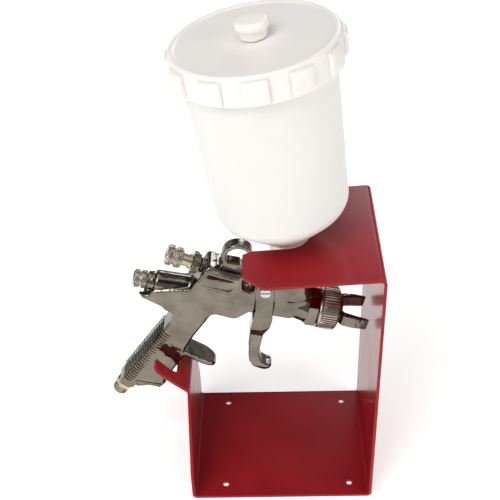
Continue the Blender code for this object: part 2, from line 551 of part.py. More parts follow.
def make_needle_line(gun, steel, brass, chrome, white):
    """Everything that sits around the needle, from the tip to the rear knob."""
    nozzle = [(3.3, 1.6), (3.3, NOZZLE_THREAD), (NOZZLE_SEAT, NOZZLE_THREAD), (NOZZLE_SEAT, 8.1),
              (13.0, 8.1), (13.0, 4.5), (20.0, 4.5), (27.5, 2.2), (NOZZLE_TIP, 1.9),
              (NOZZLE_TIP, 1.15), (26.0, 1.6)]
    new_object("fluid_nozzle", turned(nozzle, 18, closed=True), brass, gun)
    baffle = tube(8.2, 4.8, 13.0 + GAP, 16.0)
    new_object("air_baffle", baffle, brass, gun)
    ring = [(RING_START, SPIGOT_RADIUS + GAP), (RING_START, 13.9), (RING_START + 1.0, RING_RADIUS),
            (RING_END - 1.0, RING_RADIUS), (RING_END, 13.8), (RING_END, 10.1), (22.8, 10.1),
            (22.8, SPIGOT_RADIUS + GAP)]
    new_object("cap_ring", turned(ring, 32, closed=True), chrome, gun)
    cap = [(SPIGOT_END + GAP, 6.6), (SPIGOT_END + GAP, CAP_FLANGE), (22.5, CAP_FLANGE), (22.5, 9.7),
           (30.4, 9.7), (CAP_FRONT, 8.6), (CAP_FRONT, 2.7), (28.6, 2.7), (26.0, 6.6)]
    air_cap = new_object("air_cap", turned(cap, 30, closed=True), chrome, gun)
    for name, sign in (("near", -1), ("far", 1)):
        horn = prism_xy([(x, sign * y) for x, y in HORN_OUTLINE], -HORN_HALF, HORN_HALF)
        bmesh.ops.recalc_face_normals(horn, faces=horn.faces)
        rims = [edge for edge in horn.edges if len({round(v.co.z, 3) for v in edge.verts}) == 1]
        bmesh.ops.bevel(horn, geom=rims, offset=0.6, segments=1, profile=0.5, affect="EDGES")
        join(air_cap, helper(f"horn_form_{name}", horn, chrome, gun))
    needle = [(NOZZLE_TIP + 0.4, 0.0), (27.0, 0.75), (21.0, 1.05), (-42.6, NEEDLE_RADIUS),
              (-42.6, 2.4), (-44.6, 2.4), (-44.6, NEEDLE_RADIUS), (-74.0, NEEDLE_RADIUS),
              (-74.0, 3.8), (-76.5, 3.8), (-76.5, NEEDLE_RADIUS), (-98.0, NEEDLE_RADIUS),
              (-98.0, 0.0)]
    new_object("fluid_needle", turned(needle, 12), steel, gun)
    packing_front = -6.0
    new_object("needle_packing", tube(3.4, NEEDLE_RADIUS + GAP, -9.0, packing_front, steps=16),
               white, gun)
    screw = [(-9.3, NEEDLE_RADIUS + GAP), (-9.3, 3.4), (SLOT_FRONT - GAP, 3.4),
             (SLOT_FRONT - GAP, 4.4), (BAR_FRONT + 0.5, 4.4), (BAR_FRONT + 0.5, NEEDLE_RADIUS + GAP)]
    new_object("packing_screw", turned(screw, 16, closed=True), brass, gun)
    seat = tube(CHAMBER_RADIUS - GAP, STEM_RADIUS + GAP, -39.0, -36.0 - GAP)
    new_object("air_valve_seat", seat, brass, gun)
    stem = [(BAR_FRONT - BAR_THICKNESS - GAP, NEEDLE_RADIUS + GAP),
            (BAR_FRONT - BAR_THICKNESS - GAP, STEM_RADIUS), (-39.0 - GAP, STEM_RADIUS),
            (-39.0 - GAP, 4.6), (-42.0, 4.6), (-42.0, NEEDLE_RADIUS + GAP)]
    new_object("air_valve_stem", turned(stem, 16, closed=True), brass, gun)
    coil("air_valve_spring", 3.9, 0.45, -57.7, -42.3, 6, steel, gun)
    guide = tube(CHAMBER_RADIUS - GAP, NEEDLE_RADIUS + 0.5, -64.0, -58.0)
    new_object("air_valve_guide", guide, brass, gun)
    coil("needle_spring", 2.6, 0.45, -96.3, -76.8, 7, steel, gun)
    sleeve_end = KNOB_FRONT + GAP
    sleeve = [(-80.0, 4.1), (-80.0, CHAMBER_RADIUS - GAP), (TUBE_END - GAP, CHAMBER_RADIUS - GAP),
              (TUBE_END - GAP, 6.6), (sleeve_end, 6.2), (sleeve_end, 4.1)]
    new_object("needle_sleeve", turned(sleeve, 20, closed=True), chrome, gun)
    knob = [(KNOB_REAR, 0.0), (KNOB_REAR, KNOB_RADIUS - 1.4), (KNOB_REAR + 0.8, KNOB_RADIUS - 0.6),
            (KNOB_FRONT - 0.8, KNOB_RADIUS), (KNOB_FRONT, KNOB_RADIUS - 0.6), (KNOB_FRONT, 3.8),
            (-96.6, 3.8), (-96.6, NEEDLE_RADIUS + 0.5), (-105.0, NEEDLE_RADIUS + 0.5),
            (-105.0, 0.0)]
    new_object("fluid_knob", turned(knob, 20), chrome, gun)


def make_fan_valve(fan_frame, brass, chrome, black):
    """Fan valve: x runs forwards into the casting, so the knob is at negative x."""
    gland = [(9.0, 3.5), (9.0, FAN_BORE - GAP), (-1.2, FAN_BORE - GAP), (-2.4, 5.6), (-2.4, 6.6),
             (-4.0, 6.6), (-4.0, GLAND_RING), (-7.2, GLAND_RING), (-7.2, 3.5)]
    new_object("fan_gland", turned(gland, 20, closed=True), chrome, fan_frame)
    knob_front = -FAN_KNOB_START
    knob_rear = -FAN_KNOB_START - FAN_KNOB_LENGTH
    stem = [(24.0, 0.0), (22.0, 2.1), (9.4, 2.1), (9.4, 3.2), (-7.8, 3.2), (-7.8, 4.9),
            (-9.6, 4.9), (-9.6, 4.1), (knob_front + GAP, 4.1), (knob_front + GAP, 2.6),
            (knob_rear + 2.0, 2.6), (knob_rear + 2.0, 0.0)]
    new_object("fan_stem", turned(stem, 16), brass, fan_frame)
    new_object("fan_seal", tube(FAN_BORE - GAP, 2.4, 9.6, 11.9, steps=16), black, fan_frame)
    middle = (knob_front + knob_rear) / 2
    knob = [(knob_rear + 1.7, 0.0), (knob_rear + 1.7, 2.9), (knob_front, 2.9),
            (knob_front, FAN_KNOB_RADIUS), (middle + 0.5, FAN_KNOB_RADIUS),
            (middle + 0.5, FAN_KNOB_RADIUS - 0.9), (middle - 0.5, FAN_KNOB_RADIUS - 0.9),
            (middle - 0.5, FAN_KNOB_RADIUS), (knob_rear + 0.6, FAN_KNOB_RADIUS),
            (knob_rear, FAN_KNOB_RADIUS - 0.6), (knob_rear, 0.0)]
    new_object("fan_knob", turned(knob, 20), chrome, fan_frame)


def cup_outside():
    foot = FUNNEL_START + FUNNEL_HEIGHT
    rim = foot + CUP_HEIGHT
    thread = rim - 6.0
    top_radius = CUP_RADIUS + CUP_TAPER
    return [(STUB_START, STUB_RADIUS), (FUNNEL_START - 0.6, STUB_RADIUS),
            (FUNNEL_START + 1.0, STUB_RADIUS + 1.6), (foot - 4.0, CUP_RADIUS - 6.0),
            (foot - 0.6, CUP_RADIUS - 2.2), (foot + 4.0, CUP_RADIUS),
            (thread, top_radius), (thread + 0.8, top_radius + 1.1),
            (thread + 2.6, top_radius + 1.1), (thread + 3.4, top_radius), (rim, top_radius)]


def make_cup(cup_frame, white):
    foot = FUNNEL_START + FUNNEL_HEIGHT
    rim = foot + CUP_HEIGHT
    top_radius = CUP_RADIUS + CUP_TAPER
    inside = [(rim, top_radius - CUP_WALL), (foot + 4.4, CUP_RADIUS - CUP_WALL),
              (foot + 0.6, CUP_RADIUS - 2.2 - CUP_WALL), (foot - 2.6, CUP_RADIUS - 6.0 - CUP_WALL),
              (FUNNEL_START + 2.6, STUB_RADIUS - 0.6), (FUNNEL_START + 0.6, OUTLET_RADIUS + 1.4),
              (FUNNEL_START - 0.2, OUTLET_RADIUS), (NECK_LENGTH - 2.5, OUTLET_RADIUS),
              (NECK_LENGTH - 2.5, SOCKET_RADIUS), (STUB_START, SOCKET_RADIUS)]
    new_object("cup", turned(cup_outside() + inside, 40, closed=True, axis="Z"), white, cup_frame)


def make_lid(cup_frame, white):
    skirt_low = LID_TOP - LID_SKIRT
    steps = 72
    outline = []
    for index in range(steps):
        angle = math.tau * index / steps
        share = (index * LUG_COUNT / steps) % 1.0
        radius = LID_RADIUS + (LUG_HEIGHT if share < LUG_SHARE else 0.0)
        outline.append((radius * math.cos(angle), radius * math.sin(angle)))
    lid = new_object("lid", prism_xy(outline, skirt_low + 1.5, LID_TOP - 3.0), white, cup_frame)
    drum = turned([(skirt_low, 0.0), (skirt_low, LID_RADIUS - 0.4), (LID_TOP - 1.0, LID_RADIUS - 0.4),
                   (LID_TOP, LID_RADIUS - 1.4), (LID_TOP, LID_RADIUS - 3.0),
                   (LID_TOP - 0.6, LID_RADIUS - 3.8), (LID_TOP - 0.6, 3.9),
                   (LID_TOP + 3.6, 3.9), (LID_TOP + 3.6, 0.0)], 72, axis="Z")
    join(lid, helper("lid_drum", drum, white, cup_frame))
    top_radius = CUP_RADIUS + CUP_TAPER
    hollow = turned([(skirt_low - 2.0, 0.0), (skirt_low - 2.0, top_radius + 1.1 + GAP + 0.5),
                     (LID_TOP - LID_PLATE, top_radius + 1.1 + GAP + 0.5),
                     (LID_TOP - LID_PLATE, 0.0)], 60, axis="Z")
    cut(lid, helper("lid_hollow_cut", hollow, white, cup_frame))
    vent = rod(1.3, LID_TOP - 6.0, LID_TOP + 6.0, axis="Z", steps=10)
    cut(lid, helper("lid_vent_cut", vent, white, cup_frame))
    rim = FUNNEL_START + FUNNEL_HEIGHT + CUP_HEIGHT
    new_object("lid_gasket", tube(top_radius, top_radius - CUP_WALL - 1.0, rim + GAP,
                                  rim + GAP + GASKET, axis="Z", steps=40), white, cup_frame)


def make_vent_cap(cup_frame, white):
    base = LID_TOP - 0.6 + GAP
    head = LID_TOP + KNOB_STEM
    top = head + KNOB_HEAD
    socket = LID_TOP + 3.6 + GAP
    profile = [(socket, 0.0), (socket, 3.9 + GAP), (base, 3.9 + GAP), (base, KNOB_STEM_RADIUS),
               (head, KNOB_STEM_RADIUS), (head + 0.9, KNOB_HEAD_RADIUS),
               (top - 1.2, KNOB_HEAD_RADIUS), (top, KNOB_HEAD_RADIUS - 1.2), (top, 0.0)]
    new_object("vent_cap", turned(profile, 24, axis="Z"), white, cup_frame)


def make_cup_fittings(cup_frame, white, brass):
    new_object("cup_gasket", tube(12.4, SOCKET_RADIUS, 38.0 + GAP, STUB_START - GAP, axis="Z"),
               white, cup_frame)
    low = NECK_LENGTH - 2.5
    wall = 0.9
    outer = OUTLET_RADIUS - GAP
    high = FUNNEL_START + 20.0
    strainer = [(high - wall, 0.0), (high - wall, outer - wall), (low, outer - wall),
                (low, outer), (high - 1.0, outer), (high, outer - 1.0), (high, 0.0)]
    new_object("cup_strainer", turned(strainer, 16, axis="Z"), brass, cup_frame)


def make_inlet_washer(frame, seal):
    new_object("inlet_washer", tube(INLET_RADIUS + 0.8, 3.5, 10.2 + GAP, 11.7 - GAP, axis="Z"),
               seal, frame)


def main():
    clear_scene()
    red = material("red powder coat", (0.23, 0.012, 0.016), 0.22, 0.0)
    chrome = material("chrome plate", (0.55, 0.52, 0.46), 0.12, 1.0)
    brass = material("nickelled brass", (0.58, 0.52, 0.40), 0.25, 1.0)
    steel = material("bright steel", (0.62, 0.62, 0.60), 0.20, 1.0)
    white = material("milky polypropylene", (0.92, 0.90, 0.86), 0.35, 0.0)
    black = material("black seal", (0.03, 0.03, 0.03), 0.60, 0.0)

    make_stand(red)
    gun = empty("gun_frame", None, (GUN_X, 0, GUN_Z), GUN_TILT)
    cup_frame = empty("cup_frame", gun, (NECK_X, 0, 0), -NECK_TILT)
    fan_frame = empty("fan_frame", gun, (FAN_SEAT[0], 0, FAN_SEAT[1]), FAN_TILT)
    make_body(gun, cup_frame, fan_frame, chrome)
    inlet_frame = make_inlet(gun, chrome, black)
    make_inlet_washer(inlet_frame, black)
    make_trigger(gun, chrome)
    make_pivot(gun, steel)
    make_needle_line(gun, steel, brass, chrome, white)
    make_fan_valve(fan_frame, brass, chrome, black)
    make_cup(cup_frame, white)
    make_lid(cup_frame, white)
    make_vent_cap(cup_frame, white)
    make_cup_fittings(cup_frame, white, brass)
    bpy.context.view_layer.update()


main()
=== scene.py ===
# %% [markdown]
# # A bench stand with its gravity-feed spray gun
# The moving model is already made, as plain solids that fit and slide. This lesson gives it
# its looks: the folded red sheet, the polished casting, the knurled knobs and the milky cup.
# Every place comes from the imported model's joints and boxes, so each new shape lands on the
# solid it stands for. Sizes are in millimetres until a piece is put in its place.

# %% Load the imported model
import json
import math

import bmesh
import bpy
from mathutils import Matrix, Vector


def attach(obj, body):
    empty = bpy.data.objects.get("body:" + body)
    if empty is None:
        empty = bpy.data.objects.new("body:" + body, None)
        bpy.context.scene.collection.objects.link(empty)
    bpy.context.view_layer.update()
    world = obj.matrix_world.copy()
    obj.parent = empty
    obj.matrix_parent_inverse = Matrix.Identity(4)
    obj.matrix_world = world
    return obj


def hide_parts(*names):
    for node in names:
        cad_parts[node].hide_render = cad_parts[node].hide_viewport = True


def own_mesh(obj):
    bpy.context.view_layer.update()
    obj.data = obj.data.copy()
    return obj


MM = 0.001
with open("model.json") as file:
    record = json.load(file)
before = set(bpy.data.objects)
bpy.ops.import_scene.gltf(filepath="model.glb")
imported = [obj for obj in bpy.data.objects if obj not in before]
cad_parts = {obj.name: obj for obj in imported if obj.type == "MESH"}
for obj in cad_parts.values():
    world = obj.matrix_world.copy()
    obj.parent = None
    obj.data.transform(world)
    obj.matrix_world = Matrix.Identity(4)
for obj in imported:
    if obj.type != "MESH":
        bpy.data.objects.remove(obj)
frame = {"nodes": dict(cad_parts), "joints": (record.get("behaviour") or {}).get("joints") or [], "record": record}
joints = {joint["name"]: joint for joint in frame["joints"]}
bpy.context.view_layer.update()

# %% [markdown]
# ## Places
# A spray gun is laid out on a few axes: the needle's, the cup's, the fan valve's and the
# hose's. A matrix for each one lets a round piece be drawn upright, about z, and be carried
# to its axis afterwards. The joints state those axes, so nothing is measured twice.

# %% Axes as matrices
def axis_place(origin, direction):
    """Carries local z onto direction, keeps y, and moves the origin."""
    up = Vector(direction).normalized()
    side = Vector((0.0, 1.0, 0.0))
    across = side.cross(up)
    turn = Matrix((across, side, up)).transposed().to_4x4()
    return Matrix.Translation(Vector(origin)) @ turn


RING_TO_ORIGIN = 20.0
forward = Vector(joints["cap_ring_turn"]["axis"])
gun_origin = Vector(joints["cap_ring_turn"]["pos_m"]) - forward * RING_TO_ORIGIN * MM
needle_place = axis_place(gun_origin, forward)
gun_place = needle_place @ Matrix.Rotation(-math.pi / 2, 4, "Y")
cup_place = axis_place(joints["cup_turn"]["pos_m"], joints["cup_turn"]["axis"])
fan_axis = Vector(joints["fan_valve_turn"]["axis"])
fan_place = axis_place(joints["fan_valve_turn"]["pos_m"], fan_axis)
pivot_place = Matrix.Translation(Vector(joints["trigger_pull"]["pos_m"]))
hose = next(m for m in frame["record"]["mounts"] if m["name"] == "hose_face")
HOSE_FACE_BELOW = 0.8
hose_up = -Vector(hose["axis"])
hose_base = Vector(hose["pos_m"]) + hose_up * HOSE_FACE_BELOW * MM
hose_place = axis_place((hose_base.x, 0.0, hose_base.z), hose_up)
print("gun origin", [round(v / MM, 1) for v in gun_origin])

# %% [markdown]
# ## Materials
# Real surfaces are never one flat colour. Each finish here has a base colour that drifts a
# little, a roughness that changes over a few millimetres, and a fine bump: the orange peel
# of powder coat, the soft ripple of plated casting, the frost of moulded plastic.

# %% A finish with drift, uneven gloss and fine bump
def finish(name, colours, roughness, grain, bump, metallic=0.0, scale=60.0, ripple=0.0):
    made = bpy.data.materials.new(name)
    made.use_nodes = True
    tree = made.node_tree
    shader = tree.nodes["Principled BSDF"]
    place = tree.nodes.new("ShaderNodeTexCoord")
    drift = tree.nodes.new("ShaderNodeTexNoise")
    drift.inputs["Scale"].default_value = scale
    drift.inputs["Detail"].default_value = 3.0
    tree.links.new(place.outputs["Object"], drift.inputs["Vector"])
    ramp = tree.nodes.new("ShaderNodeValToRGB")
    ramp.color_ramp.elements[0].position = 0.32
    ramp.color_ramp.elements[1].position = 0.68
    for stop, colour in zip(ramp.color_ramp.elements, colours):
        stop.color = (*colour, 1.0)
    tree.links.new(drift.outputs["Fac"], ramp.inputs["Fac"])
    tree.links.new(ramp.outputs["Color"], shader.inputs["Base Color"])
    gloss = tree.nodes.new("ShaderNodeMapRange")
    gloss.inputs["To Min"].default_value = roughness[0]
    gloss.inputs["To Max"].default_value = roughness[1]
    tree.links.new(drift.outputs["Fac"], gloss.inputs["Value"])
    tree.links.new(gloss.outputs["Result"], shader.inputs["Roughness"])
    fine = tree.nodes.new("ShaderNodeTexNoise")
    fine.inputs["Scale"].default_value = grain
    fine.inputs["Detail"].default_value = 2.0
    tree.links.new(place.outputs["Object"], fine.inputs["Vector"])
    relief = tree.nodes.new("ShaderNodeBump")
    relief.inputs["Strength"].default_value = 1.0
    relief.inputs["Distance"].default_value = bump * MM
    tree.links.new(fine.outputs["Fac"], relief.inputs["Height"])
    if ripple:
        wave = tree.nodes.new("ShaderNodeBump")
        wave.inputs["Distance"].default_value = ripple * MM
        tree.links.new(drift.outputs["Fac"], wave.inputs["Height"])
        tree.links.new(wave.outputs["Normal"], relief.inputs["Normal"])
    tree.links.new(relief.outputs["Normal"], shader.inputs["Normal"])
    shader.inputs["Metallic"].default_value = metallic
    return made, shader


# %% [markdown]
# Each finish is named for what it covers. A value that is the same all over, such as the
# coat's weight, goes straight on the shader's own socket.

# %% Coat, metals, plastics and rubber
powder_coat, shader = finish("red powder coat", [(0.250, 0.0075, 0.0125), (0.300, 0.0095, 0.0155)],
                             (0.20, 0.30), 1100.0, 0.012, scale=25.0)
shader.inputs["Specular IOR Level"].default_value = 0.22
shader.inputs["Coat Weight"].default_value = 0.08
shader.inputs["Coat Roughness"].default_value = 0.12
chrome, shader = finish("chrome plate", [(0.150, 0.134, 0.106), (0.235, 0.215, 0.175)],
                        (0.07, 0.17), 260.0, 0.015, metallic=1.0, scale=70.0, ripple=0.9)
satin_chrome, shader = finish("satin chrome", [(0.40, 0.370, 0.305), (0.52, 0.485, 0.41)],
                              (0.20, 0.32), 700.0, 0.010, metallic=1.0, scale=90.0)
steel, shader = finish("bright steel", [(0.50, 0.49, 0.47), (0.62, 0.61, 0.59)],
                       (0.16, 0.28), 900.0, 0.008, metallic=1.0, scale=120.0)
nickel, shader = finish("nickelled brass", [(0.46, 0.40, 0.28), (0.60, 0.54, 0.40)],
                        (0.18, 0.30), 800.0, 0.008, metallic=1.0, scale=100.0)
milky, shader = finish("milky polypropylene", [(0.92, 0.890, 0.845), (0.95, 0.925, 0.885)],
                       (0.34, 0.46), 420.0, 0.015, scale=18.0)
shader.inputs["Subsurface Weight"].default_value = 0.35
shader.inputs["Subsurface Scale"].default_value = 0.012
shader.inputs["Subsurface Radius"].default_value = (1.0, 0.85, 0.70)
lid_plastic, shader = finish("moulded lid plastic", [(0.90, 0.860, 0.835), (0.93, 0.895, 0.875)],
                             (0.30, 0.42), 500.0, 0.012, scale=22.0)
shader.inputs["Subsurface Weight"].default_value = 0.25
shader.inputs["Subsurface Scale"].default_value = 0.008
shader.inputs["Subsurface Radius"].default_value = (1.0, 0.80, 0.72)
white_plastic, shader = finish("white gasket", [(0.82, 0.80, 0.76), (0.88, 0.86, 0.83)],
                               (0.45, 0.60), 700.0, 0.010, scale=60.0)
seal, shader = finish("black seal rubber", [(0.018, 0.018, 0.019), (0.035, 0.034, 0.033)],
                      (0.50, 0.70), 900.0, 0.015, scale=90.0)
print("finishes", len(bpy.data.materials))

# %% [markdown]
# ## Helpers for making pieces
# A turned piece starts as a profile, radius and height, whose corners are rounded before it
# is spun, because a machined edge is broken and a moulded one has a radius. A finished
# piece's place goes into its mesh and its object stays at the origin.

# %% Profiles and turned forms
def rounded(profile, radius, steps=3):
    """Replaces each inner corner of an open profile by a short curve."""
    points = [Vector(point) for point in profile]
    smooth = [points[0]]
    for before, here, after in zip(points, points[1:], points[2:]):
        reach = min(radius, (here - before).length * 0.45, (after - here).length * 0.45)
        start = here + (before - here).normalized() * reach
        end = here + (after - here).normalized() * reach
        for step in range(steps + 1):
            share = step / steps
            curve = start.lerp(here, share).lerp(here.lerp(end, share), share)
            smooth.append(curve)
    smooth.append(points[-1])
    return [tuple(point) for point in smooth]


def turned(profile, steps=96, closed=False):
    """Spins (radius, height) points about z. A closed profile makes a ring."""
    form = bmesh.new()
    loops = []
    for radius, height in profile:
        if radius < 1e-6:
            loops.append([form.verts.new((0.0, 0.0, height))])
            continue
        loops.append([form.verts.new((radius * math.cos(math.tau * i / steps),
                                      radius * math.sin(math.tau * i / steps), height))
                      for i in range(steps)])
    pairs = list(zip(loops, loops[1:]))
    if closed:
        pairs.append((loops[-1], loops[0]))
    for low, high in pairs:
        for i in range(steps):
            corners = [low[i % len(low)], low[(i + 1) % len(low)],
                       high[(i + 1) % len(high)], high[i % len(high)]]
            unique = list(dict.fromkeys(corners))
            if len(unique) > 2:
                form.faces.new(unique)
    return form


# %% Weld a form, and work modifiers into a mesh
def as_mesh(name, form):
    """Welds a form and turns its faces outwards."""
    bmesh.ops.remove_doubles(form, verts=form.verts, dist=1e-4)
    bmesh.ops.recalc_face_normals(form, faces=form.faces)
    mesh = bpy.data.meshes.new(name)
    form.to_mesh(mesh)
    form.free()
    return mesh


def applied(mesh, steps):
    """A mesh after a list of modifiers: each step gives a modifier's type and settings."""
    stand_in = bpy.data.objects.new("stand_in", mesh)
    bpy.context.scene.collection.objects.link(stand_in)
    for kind, settings in steps:
        modifier = stand_in.modifiers.new(kind.lower(), kind)
        for name, value in settings.items():
            setattr(modifier, name, value)
    graph = bpy.context.evaluated_depsgraph_get()
    result = bpy.data.meshes.new_from_object(stand_in.evaluated_get(graph))
    bpy.data.objects.remove(stand_in)
    return result


def cad_copy(node, place):
    """A welded copy of a CAD node, in millimetres in the frame that place gives."""
    form = bmesh.new()
    form.from_mesh(frame["nodes"][node].data)
    form.transform(Matrix.Diagonal((1 / MM, 1 / MM, 1 / MM, 1.0)) @ place.inverted())
    bmesh.ops.remove_doubles(form, verts=form.verts, dist=2e-3)
    return as_mesh(node, form)


# %% Put a piece in its place
def piece(name, meshes, place, body, material, stands_for=(), sharp=32.0,
          flat=False):
    """Joins millimetre meshes into one piece, carries it to its place and lets it ride."""
    whole = bmesh.new()
    for mesh in meshes:
        whole.from_mesh(mesh)
    whole.transform(place @ Matrix.Diagonal((MM, MM, MM, 1.0)))
    mesh = bpy.data.meshes.new(name)
    whole.to_mesh(mesh)
    whole.free()
    mesh.materials.clear()
    mesh.materials.append(material)
    mesh.polygons.foreach_set("material_index", [0] * len(mesh.polygons))
    mesh.shade_smooth()
    mesh.set_sharp_from_angle(angle=math.radians(sharp))
    if flat:
        mesh = applied(mesh, [("WEIGHTED_NORMAL", {"keep_sharp": True, "weight": 100})])
        mesh.name = name
    made = bpy.data.objects.new(name, mesh)
    bpy.context.scene.collection.objects.link(made)
    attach(made, body)
    if stands_for:
        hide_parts(*stands_for)
    print(name, len(mesh.polygons), "faces")
    return made


# %% [markdown]
# ## Repeats with Geometry Nodes
# Knurls, lid lugs and grip ribs are one small shape many times over. Two node trees do all
# of them: one sets copies around an axis, the other along a line. Both end in Realize
# Instances and Set Material, so what leaves the tree is an ordinary mesh.

# %% Two repeat trees
def repeat_tree(name, around):
    tree = bpy.data.node_groups.new(name, "GeometryNodeTree")
    tree.interface.new_socket("Shape", in_out="INPUT", socket_type="NodeSocketGeometry")
    tree.interface.new_socket("Count", in_out="INPUT", socket_type="NodeSocketInt")
    tree.interface.new_socket("Step", in_out="INPUT", socket_type="NodeSocketVector")
    tree.interface.new_socket("Finish", in_out="INPUT", socket_type="NodeSocketMaterial")
    tree.interface.new_socket("Geometry", in_out="OUTPUT", socket_type="NodeSocketGeometry")
    given = tree.nodes.new("NodeGroupInput")
    result = tree.nodes.new("NodeGroupOutput")
    line = tree.nodes.new("GeometryNodeMeshLine")
    copies = tree.nodes.new("GeometryNodeInstanceOnPoints")
    realize = tree.nodes.new("GeometryNodeRealizeInstances")
    paint = tree.nodes.new("GeometryNodeSetMaterial")
    link = tree.links.new
    link(given.outputs["Count"], line.inputs["Count"])
    link(line.outputs["Mesh"], copies.inputs["Points"])
    link(given.outputs["Shape"], copies.inputs["Instance"])
    if around:
        line.inputs["Offset"].default_value = (0.0, 0.0, 0.0)
        index = tree.nodes.new("GeometryNodeInputIndex")
        turn = tree.nodes.new("ShaderNodeVectorMath")
        turn.operation = "SCALE"
        link(given.outputs["Step"], turn.inputs[0])
        link(index.outputs["Index"], turn.inputs["Scale"])
        link(turn.outputs["Vector"], copies.inputs["Rotation"])
    else:
        link(given.outputs["Step"], line.inputs["Offset"])
    link(copies.outputs["Instances"], realize.inputs["Geometry"])
    link(realize.outputs["Geometry"], paint.inputs["Geometry"])
    link(given.outputs["Finish"], paint.inputs["Material"])
    link(paint.outputs["Geometry"], result.inputs["Geometry"])
    return tree


around_axis = repeat_tree("repeat around an axis", True)
along_line = repeat_tree("repeat along a line", False)


def repeated(form, tree, count, step, material):
    """One small shape, many times, as a plain mesh."""
    mesh = as_mesh("one", form)
    holder = bpy.data.objects.new("holder", mesh)
    modifier = holder.modifiers.new("repeat", "NODES")
    modifier.node_group = tree
    given = {"Count": count, "Step": step, "Finish": material}
    for socket in tree.interface.items_tree:
        if socket.in_out == "INPUT" and socket.name in given:
            modifier[socket.identifier] = given[socket.name]
    bpy.context.scene.collection.objects.link(holder)
    graph = bpy.context.evaluated_depsgraph_get()
    result = bpy.data.meshes.new_from_object(holder.evaluated_get(graph))
    bpy.data.objects.remove(holder)
    print("repeated", count, "times:", len(result.polygons), "faces")
    return result


def tooth(radius, half_width, height, low, high, bevel):
    """A rounded tooth that stands on a drum of that radius, from low to high along z."""
    form = bmesh.new()
    sink = radius - 0.5
    section = [(sink, -half_width), (radius + height * 0.55, -half_width),
               (radius + height, -half_width * 0.45), (radius + height, half_width * 0.45),
               (radius + height * 0.55, half_width), (sink, half_width)]
    rows = [(low, height), (low + bevel, 0.0), (high - bevel, 0.0), (high, height)]
    loops = []
    for z, drop in rows:
        loops.append([form.verts.new((max(x - drop, sink), y, z)) for x, y in section])
    for lower, upper in zip(loops, loops[1:]):
        for i in range(len(section)):
            after = (i + 1) % len(section)
            form.faces.new([lower[i], lower[after], upper[after], upper[i]])
    form.faces.new(loops[0][::-1])
    form.faces.new(loops[-1])
    return form


def knurl(radius, count, height, low, high, material):
    """Axial ribs around a drum."""
    half_width = math.pi * radius / count * 0.58
    rib = tooth(radius, half_width, height, low, high, height)
    return repeated(rib, around_axis, count, (0.0, 0.0, math.tau / count), material)


print("trees", [tree.name for tree in bpy.data.node_groups])

# %% [markdown]
# ## The stand
# One strip of 2 mm sheet, cut, folded four times and powder coated. The model's own solid
# has the right folds and cuts, so it is welded, its flat faces are cleaned, and every cut
# edge gets the small round that a thick coat leaves.

# %% Fold lines kept, cut edges rounded
COAT_EDGE = 0.45
flat = bmesh.new()
flat.from_mesh(cad_copy("stand_frame", Matrix.Identity(4)))
bmesh.ops.dissolve_limit(flat, angle_limit=math.radians(0.6), verts=flat.verts,
                         edges=flat.edges)
sheet = applied(as_mesh("sheet", flat), [
    ("BEVEL", {"width": COAT_EDGE, "segments": 3, "limit_method": "ANGLE",
               "angle_limit": math.radians(50), "use_clamp_overlap": True}),
    ("TRIANGULATE", {}),
])
piece("folded_stand", [sheet], Matrix.Identity(4), "stand", powder_coat, ("stand_frame",),
      sharp=60.0, flat=True)

# %% [markdown]
# ## The casting
# The gun is cast and then polished, so no edge on it is crisp: the panels melt into the
# grip and the hook grows out of the back. A remesh of the solid into small even cells, and a
# few rounds of smoothing, gives the same soft transitions that polishing does.

# %% Polished casting
# Cell size in mm, and rounds of smoothing.
CELL = 0.72
POLISH = 11
cast = applied(cad_copy("gun_body", gun_place), [
    ("REMESH", {"mode": "VOXEL", "voxel_size": CELL}),
    ("SMOOTH", {"factor": 0.5, "iterations": POLISH}),
])


def round_tip(mesh, start, reach, below, least):
    """Narrows a flat tongue in plan towards its tip, so that its end is round."""
    for vertex in mesh.vertices:
        if vertex.co.z < below and vertex.co.x > start:
            share = min((vertex.co.x - start) / reach, 1.0)
            vertex.co.y *= max(math.sqrt(1.0 - share * share), least)
    return mesh


round_tip(cast, -54.0, 12.4, -52.0, 0.12)
print("casting cells", len(cast.polygons))

# %% [markdown]
# ## Grip ribs
# A ribbed strap runs up the back of the grip and wraps a little way round both sides. One
# rib is a thin bar with broken corners; the line tree sets it along the grip's back.

# %% One rib of the strap
# Where the strap starts and ends on the back of the grip, in the gun's own frame.
GRIP_LOW = Vector((-104.4, 0.0, -83.8))
GRIP_HIGH = Vector((-82.4, 0.0, -32.4))
RIB_PITCH = 2.35
RIB_THICK = 0.70
RIB_DEPTH = 5.8
RIB_HALF = 10.1
RIB_BREAK = 2.3
RIB_PROUD = 0.6
grip = GRIP_HIGH - GRIP_LOW
rib_count = int(grip.length / RIB_PITCH)
rise = grip.normalized()
inwards = Vector((rise.z, 0.0, -rise.x))


